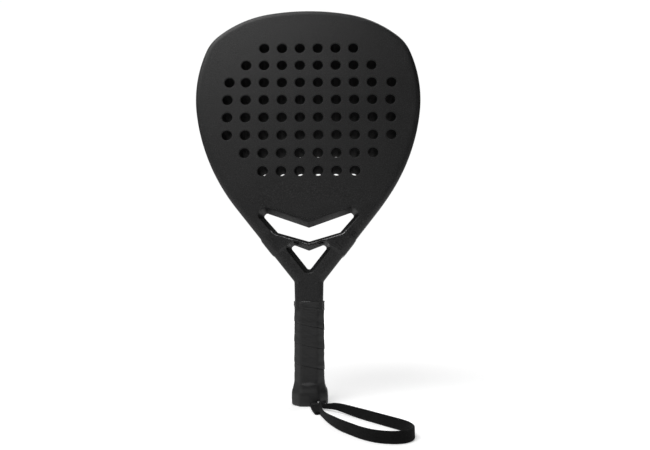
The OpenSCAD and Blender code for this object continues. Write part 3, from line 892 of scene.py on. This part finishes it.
# ------------------------------------------------------------------ grip: spiral overgrip, finishing tape, flared butt
PITCH_Z, SEAM_Z = 21.4, 83.3
PROFILE = np.array([
    # z, width, depth, corner
    [0.15, 35.8, 33.2, 8.2], [0.35, 36.8, 34.2, 8.4], [0.8, 37.8, 35.2, 8.6], [1.6, 38.5, 35.9, 8.7], [3.2, 39.0, 36.4, 8.9],
    [7, 39.2, 36.6, 9.0], [11, 39.1, 36.5, 9.0], [13.6, 38.4, 35.8, 8.9], [15.5, 36.9, 34.4, 8.6], [17.5, 35.4, 33.0, 8.2],
    [20.5, 33.9, 31.6, 7.8], [24, 32.9, 30.7, 7.4], [28, 32.4, 30.2, 7.1], [35, 32.3, 30.1, 7.0], [52, 32.6, 30.3, 7.0], [70, 32.8, 30.5, 7.0],
    [88, 32.9, 30.6, 7.0], [104, 33.0, 30.7, 7.0], [112, 33.0, 30.7, 7.0]])


def octagon_r(theta, w, d, c, p=30.0):
    """Radius of an octagon with softened corners: w wide, d deep, chamfers c."""
    diag = (w / 2 + d / 2 - c) / math.sqrt(2)
    total = np.zeros(np.broadcast(theta, w).shape)
    for k in range(8):
        dist = (w / 2, diag, d / 2, diag)[k % 4]
        total = total + np.maximum(0.0, np.cos(theta - k * math.pi / 4) / dist) ** p
    return total ** (-1.0 / p)


def grip_r(theta, z):
    w, d, c = (np.interp(z, PROFILE[:, 0], PROFILE[:, i]) for i in (1, 2, 3))
    return octagon_r(theta, w, d, c)


def lap(u, t):
    """Swell of the wrap a height u above its seam: a clean edge, the doubled strip, then a soft fall and a shallow sag."""
    at = np.array([0, 0.12, 0.28, 0.55, 1.0, 2.2, 4.0, 5.4, 7.5, 11, 15, 18.5, 20.2, 20.8, 21.15, PITCH_Z])
    out = np.array([-0.75, -0.1, 0.5, 0.78, 0.92, 0.95, 0.85, 0.5, 0.2, 0.02, -0.04, 0.04, 0.0, -0.12, -0.5, -0.75])
    return t * np.interp(u, at, out)


def wrinkles(theta, z, seed=0.0):
    """Slow hand-made unevenness of a stretched tape."""
    q = theta + 2 * math.pi * z / PITCH_Z
    return (0.09 * np.sin(2 * theta + q + seed) * np.sin(0.23 * z + 1.3 + seed) + 0.06 * np.sin(5 * theta - 2 * q + 2.1 + seed)
            + 0.05 * np.sin(7 * theta + 4 * q + 0.7 + seed) * np.sin(0.4 * z + 2 * theta + seed)
            + 0.03 * np.sin(3 * theta + 9 * q + 0.4 + seed) * np.sin(0.17 * z + 3 * theta + seed))


def spiral_wrap():
    K = 176
    theta = np.linspace(-math.pi, math.pi, K + 1)
    turn_rows = np.array([0.0, 0.06, 0.12, 0.2, 0.28, 0.4, 0.55, 0.75, 1.0, 1.5, 2.2, 3.1, 4.0, 4.7, 5.4, 6.4, 7.5, 8.4, 9.3, 10.2, 11.1, 12, 12.9, 13.8,
                          14.7, 15.6, 16.5, 17.4, 18.3, 19.2, 20.0, 20.4, 20.8, 21.0, 21.15, 21.28])
    m = len(turn_rows)
    first = SEAM_Z + PITCH_Z * (-0.25)
    turns = range(-7, 4)
    v = np.concatenate([first + PITCH_Z * k + turn_rows for k in turns])
    u = np.concatenate([turn_rows for k in turns])
    zb, zt = 0.15, 108.4
    verts, index = [], {}
    rows = len(v)
    zz = v[None, :] - PITCH_Z * theta[:, None] / (2 * math.pi)
    zc = np.clip(zz, zb, zt)
    th = np.broadcast_to(theta[:, None], zc.shape)
    fade = np.clip((zc - 1.5) / 5, 0, 1) * np.clip((108.4 - zc) / 3, 0.2, 1)
    seam = 0.46 * np.clip((zc - 25.0) / 6.0, 0.0, 1.0) * (1.0 + 0.25 * np.sin(th * 1.0 + 0.9))
    off = (th + math.pi / 2) / 0.46
    ledge = zc + 1.6 * (1 - off ** 2)
    smile = np.exp(-(off ** 4)) * np.interp(ledge, [21.4, 22.2, 22.7, 23.3, 26.6, 27.8], [0, 0.4, 1.25, 1.3, 0.2, 0])
    r = grip_r(th, zc) + fade * (lap(np.broadcast_to(u[None, :], zc.shape), seam) + wrinkles(th, zc)) + smile
    inner = grip_r(th, zc) - 1.3
    lean = np.interp(zc, [0, 9, 16, 28], [0.55, 0.5, -0.1, 0.0])
    outv = np.stack([r * np.cos(th) + lean, r * np.sin(th), zc], axis=2)
    inv = np.stack([inner * np.cos(th) + lean, inner * np.sin(th), zc], axis=2)
    b = Builder()
    o = [b.ring(list(outv[k])) for k in range(K + 1)]
    i = [b.ring(list(inv[k])) for k in range(K + 1)]
    for k in range(K):
        for j in range(rows - 1):
            if zc[k, j] == zc[k, j + 1] and zc[k + 1, j] == zc[k + 1, j + 1]:
                continue
            b.f.append((o[k][j], o[k + 1][j], o[k + 1][j + 1], o[k][j + 1]))
            b.f.append((i[k][j], i[k][j + 1], i[k + 1][j + 1], i[k + 1][j]))
        for side, z0 in ((0, zb), (1, zt)):
            a = [j for j in range(rows) if zc[k, j] == z0]
            c = [j for j in range(rows) if zc[k + 1, j] == z0]
            ja, jc = (a[-1], c[-1]) if side == 0 else (a[0], c[0])
            q = (o[k][ja], o[k + 1][jc], i[k + 1][jc], i[k][ja])
            b.f.append(q if side == 0 else q[::-1])
    return make_object("spiral_overgrip", b.v, b.f, MAT["overgrip"], ("overgrip",), merge=0.002, sharp=32.0)


grip = spiral_wrap()
# a paler film stands in for the highlight on the ridge above the flare
grip.data.materials.append(MAT["ridge"])
for f in grip.data.polygons:
    x, y, z = f.center / MM
    off = (math.atan2(y, x) + math.pi / 2) / 0.5
    if abs(off) < 1 and abs(z - 22.9 + 0.5 * (1 - off * off)) < 1.9 * (1 - off * off):
        f.material_index = 1


def finishing_band():
    K = 176
    theta = np.linspace(-math.pi, math.pi, K + 1)[:-1]
    deg = np.degrees(theta)
    low = np.interp(deg, [-180, -150, -125, -100, -75, -50, 0, 60, 120, 180], [105.0, 104.4, 102.9, 101.2, 100.3, 100.0, 99.9, 100.6, 102.6, 105.0])
    top = 109.1 + 0.25 * np.sin(theta * 2 + 0.6)
    rows = [0.0, 0.012, 0.035, 0.07, 0.14, 0.25, 0.37, 0.5, 0.63, 0.75, 0.86, 0.93, 0.965, 0.99, 1.0]
    swell = [0.16, 0.45, 0.62, 0.7, 0.68, 0.62, 0.58, 0.58, 0.6, 0.64, 0.7, 0.78, 0.8, 0.66, 0.2]
    b = Builder()
    outer = []
    for q, s in zip(rows, swell):
        z = low + (top - low) * q
        r = grip_r(theta, z) - 0.22 + s + 0.7 * wrinkles(theta, z * 1.6, 1.7) * (0.3 + s)
        outer.append(b.ring(list(np.stack([r * np.cos(theta), r * np.sin(theta), z], axis=1))))
    inner = []
    for z in (top, low):
        r = grip_r(theta, z) + (-0.3 if z is low else -0.9)
        inner.append(b.ring(list(np.stack([r * np.cos(theta), r * np.sin(theta), z], axis=1))))
    rings = outer + inner
    for k in range(len(rings)):
        b.strip(rings[k], rings[(k + 1) % len(rings)])
    band = make_object("finishing_band", b.v, b.f, MAT["tape"], ("finishing_tape",), sharp=50.0)
    # painted highlight: the up-facing front of the band's top edge gets the pale edge material
    band.data.materials.append(MAT["edge"])
    for f in band.data.polygons:
        x, y, z = f.center / MM
        if y < 0 and -8.5 < x < 4.5 and z > 108.75 and f.normal.z > 0.1:
            f.material_index = 1
    return band


band = finishing_band()


def box_cutter(x0, x1, y0, y1, z0, z1, r=1.2):
    bm = bmesh.new()
    bmesh.ops.create_cube(bm, size=1.0)
    bmesh.ops.scale(bm, vec=((x1 - x0) * MM, (y1 - y0) * MM, (z1 - z0) * MM), verts=bm.verts)
    bmesh.ops.translate(bm, vec=((x0 + x1) / 2 * MM, (y0 + y1) / 2 * MM, (z0 + z1) / 2 * MM), verts=bm.verts)
    bmesh.ops.bevel(bm, geom=[e for e in bm.edges], offset=r * MM, segments=4, profile=0.5, affect="EDGES")
    me = bpy.data.meshes.new("cutter")
    bm.to_mesh(me)
    bm.free()
    ob = bpy.data.objects.new("cutter", me)
    scene.collection.objects.link(ob)
    return ob


notch = box_cutter(2.4, 17.4, -24.0, -6.0, -4.0, 5.5)
cut(grip, notch, 32.0)
bpy.data.objects.remove(notch)

# ------------------------------------------------------------------ strap tail: the two ends sewn flat on each other, knot and bar tack
TAIL = [[0, 0, 19, 6.5], [0, 0, 15, 6.5], [0.2, -0.8, 11, 6.6], [1.4, -4.6, 7.2, 7.2], [3.2, -10, 4.9, 8.2], [4.8, -16.5, 3.4, 8.8],
        [5.8, -23.6, 2.4, 9.0], [6.7, -31, 2.0, 8.6], [7.6, -38, 1.8, 7.8], [8.6, -45, 1.7, 6.4], [9.3, -49.5, 1.6, 4.8]]


def doubled_ribbon(name, route, thick, nodes, rib=1.15, step=0.3):
    fine, at = resample(catmull(route, 24), step)
    p, width = fine[:, :3], fine[:, 3]
    f = np.gradient(p, axis=0)
    f /= np.linalg.norm(f, axis=1)[:, None]
    x = np.array([1.0, 0.0, 0.0])
    u = x[None, :] - (f @ x)[:, None] * f
    u /= np.linalg.norm(u, axis=1)[:, None]
    v = np.cross(f, u)
    n_half = 15
    a = np.linspace(-1, 1, n_half)
    verts, faces = [], []
    for i in range(len(p)):
        ring = []
        skew = 1.0 if at[i] < at[-1] - 9 else (at[i] - at[-1] + 9) / 9
        for s in (1, -1):
            for k in range(n_half):
                e = a[k] * s
                edge = max(0.0, (abs(e) - 0.78) / 0.22)
                # the seam between the two layers shows as a groove along both selvedges
                t = thick / 2 * (1 - 0.75 * edge ** 2)
                phase = at[i] / rib * 2 * math.pi + (math.pi if int(math.floor((e + 1) * 4)) % 2 else 0.0)
                t += 0.1 * math.sin(phase) * (1 - edge)
                q = p[i] + e * width[i] / 2 * u[i] + s * t * v[i]
                if skew != 1.0:
                    q = q - f[i] * skew * (e + 1) * 2.2
                ring.append(q)
        # groove vertices at both selvedges
        right_g = p[i] + (width[i] / 2 - 0.25) * u[i] - (f[i] * skew * 2 * 2.2 if skew != 1.0 else 0)
        left_g = p[i] - (width[i] / 2 - 0.25) * u[i]
        ring = ring[:n_half] + [right_g] + ring[n_half:] + [left_g]
        verts += ring
    n = 2 * n_half + 2
    for i in range(len(p) - 1):
        for k in range(n):
            j = (k + 1) % n
            faces.append((i * n + k, (i + 1) * n + k, (i + 1) * n + j, i * n + j))
    for i in (0, len(p) - 1):
        faces.append(tuple(i * n + k for k in range(n)))
    return make_object(name, verts, faces, MAT["webbing"], nodes, sharp=60.0), p, u, v, f, at


tail, tail_p, tail_u, tail_v, tail_f, tail_at = doubled_ribbon("strap_tail_doubled", TAIL, 3.0, ("strap_tail",))


def tube_along(name, path_mm, radius, mat, slot_name, nodes=(), sides=10, closed=False):
    p = np.array(path_mm, float)
    n = len(p)
    f = np.roll(p, -1, axis=0) - np.roll(p, 1, axis=0) if closed else np.gradient(p, axis=0)
    f /= np.linalg.norm(f, axis=1)[:, None]
    ref = np.array([0.0, 0.0, 1.0]) if abs(f[0][2]) < 0.9 else np.array([1.0, 0.0, 0.0])
    u = np.cross(f[0], ref)
    u /= np.linalg.norm(u)
    verts, faces, frames = [], [], []
    for i in range(n):
        u = u - (u @ f[i]) * f[i]
        u /= np.linalg.norm(u)
        frames.append((u.copy(), np.cross(f[i], u)))
    twist = 0.0
    if closed:
        end = frames[-1][0] - (frames[-1][0] @ f[0]) * f[0]
        end /= np.linalg.norm(end)
        twist = math.atan2(end @ frames[0][1], end @ frames[0][0])
    for i in range(n):
        a, b = frames[i]
        for k in range(sides):
            ang = 2 * math.pi * k / sides - (twist * i / n if closed else 0.0)
            verts.append(p[i] + radius * (cos(ang) * a + sin(ang) * b))
    last = n if closed else n - 1
    for i in range(last):
        for k in range(sides):
            j = (k + 1) % sides
            i2 = (i + 1) % n
            faces.append((i * sides + k, i2 * sides + k, i2 * sides + j, i * sides + j))
    if not closed:
        faces.append(tuple(range(sides)))
        faces.append(tuple((n - 1) * sides + k for k in range(sides)))
    return verts, faces


def knot():
    lo, hi = (np.array(q) * 1000 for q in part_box("strap_knot"))
    c, half = (lo + hi) / 2, (hi - lo) / 2
    t = np.linspace(0, 2 * math.pi, 160, endpoint=False)
    r = min(half) * 0.42
    q = np.stack([np.sin(t) + 2 * np.sin(2 * t), np.cos(t) - 2 * np.cos(2 * t), -1.3 * np.sin(3 * t)], axis=1)
    q = q / np.abs(q).max(axis=0) * (half - r) + c
    v, f = tube_along("knot", q, r, MAT["webbing"], "webbing", closed=True, sides=14)
    return make_object("strap_overhand_knot", v, f, MAT["webbing"], ("strap_knot",))


knot_ob = knot()


def bar_tack():
    verts, faces = [], []

    def add(path_mm, radius):
        v, f = tube_along("t", path_mm, radius, None, None, sides=6)
        base = len(verts)
        verts.extend(v)
        faces.extend(tuple(base + i for i in q) for q in f)
    for centre in (27.0, 33.5):
        i0 = int(np.argmin(np.abs(tail_at - centre)))
        for k in range(9):
            i = i0 + int(round((k - 4) * 0.42 / 0.3))
            p, u, v = tail_p[i], tail_u[i], tail_v[i]
            top = v if v[2] > 0 else -v
            w = 3.4
            path_mm = [p + u * (w * e) + top * (1.62 + 0.14 * (1 - e * e)) for e in np.linspace(-1, 1, 9)]
            add(path_mm, 0.17)
    return make_object("bar_tacks", verts, faces, MAT["thread"], ("strap_stitching",))


tack = bar_tack()

# ------------------------------------------------------------------ stage and light
bpy.ops.mesh.primitive_plane_add(size=6.0, location=(0, 0, 0))
floor = bpy.context.object
floor.name = "floor"
g = Graph("floor_paper")
grain = g.noise(900.0, 3.0, 0.6)
floor.data.materials.append(g.finish(g.mix(grain, (0.92, 0.92, 0.92), (0.95, 0.95, 0.95)), 0.75, g.bump(grain, 0.00003, 0.5), 0.15))
split = g.node("ShaderNodeSeparateXYZ")
g.put(g.co, split.inputs[0])
away = g.math("ADD", g.math("MULTIPLY", split.outputs["X"], split.outputs["X"]), g.math("MULTIPLY", split.outputs["Y"], split.outputs["Y"]))
far = g.ramp(away, 0.3 ** 2, 1.1 ** 2, 0.3, 1.0)
g.bsdf.inputs["Emission Color"].default_value = (1, 1, 1, 1)
g.put(far, g.bsdf.inputs["Emission Strength"])

world = bpy.data.worlds.new("studio")
scene.world = world
world.use_nodes = True
wt = world.node_tree
wt.nodes.clear()
wout = wt.nodes.new("ShaderNodeOutputWorld")
wbg = wt.nodes.new("ShaderNodeBackground")
wco = wt.nodes.new("ShaderNodeTexCoord")
wsep = wt.nodes.new("ShaderNodeSeparateXYZ")
wt.links.new(wco.outputs["Generated"], wsep.inputs[0])
path = wt.nodes.new("ShaderNodeLightPath")


def wmath(op, a, b=0.0):
    n = wt.nodes.new("ShaderNodeMath")
    n.operation = op
    for k, q in enumerate((a, b)):
        if isinstance(q, bpy.types.NodeSocket):
            wt.links.new(q, n.inputs[k])
        else:
            n.inputs[k].default_value = q
    return n.outputs[0]


def wramp(value, low, high, a, b):
    n = wt.nodes.new("ShaderNodeMapRange")
    n.interpolation_type = "SMOOTHSTEP"
    n.inputs["From Min"].default_value = low
    n.inputs["From Max"].default_value = high
    n.inputs["To Min"].default_value = a
    n.inputs["To Max"].default_value = b
    wt.links.new(value, n.inputs["Value"])
    return n.outputs["Result"]


# a broad soft light overhead, dim ahead of the object at eye height and behind, a little brighter to the left
front = wramp(wsep.outputs["Z"], 0.0, 0.55, 0.05, 0.75)
leftward = wramp(wsep.outputs["X"], -0.5, 0.35, 1.4, 0.0)
behind = wramp(wsep.outputs["Y"], -0.2, 0.45, 0.0, 1.0)
overhead = wramp(wsep.outputs["Z"], 0.5, 0.85, 0.0, 0.12)
ahead = wmath("MULTIPLY", wmath("MULTIPLY", front, leftward), wmath("SUBTRACT", 1.0, behind))
light = wmath("ADD", wmath("ADD", ahead, wmath("MULTIPLY", behind, 0.16)), overhead)
seen = path.outputs["Is Camera Ray"]
final = wmath("ADD", wmath("MULTIPLY", seen, 1.02), wmath("MULTIPLY", wmath("SUBTRACT", 1.0, seen), light))
wt.links.new(final, wbg.inputs["Strength"])
wbg.inputs["Color"].default_value = (1, 1, 1, 1)
wt.links.new(wbg.outputs[0], wout.inputs["Surface"])
scene.view_settings.view_transform = "Standard"


def area(name, loc, target, size, power):
    data = bpy.data.lights.new(name, "AREA")
    data.shape = "RECTANGLE"
    data.size, data.size_y = size
    data.energy = power
    ob = bpy.data.objects.new(name, data)
    scene.collection.objects.link(ob)
    ob.location = loc
    ob.rotation_euler = (Vector(target) - Vector(loc)).to_track_quat("-Z", "Y").to_euler()
    return ob


area("key", (-0.55, -0.75, 1.6), (0, 0, 0.15), (1.3, 1.0), 17.0)
area("rear_softbox", (0.45, 0.7, 1.7), (0, 0, 0.1), (1.0, 0.7), 9.0)
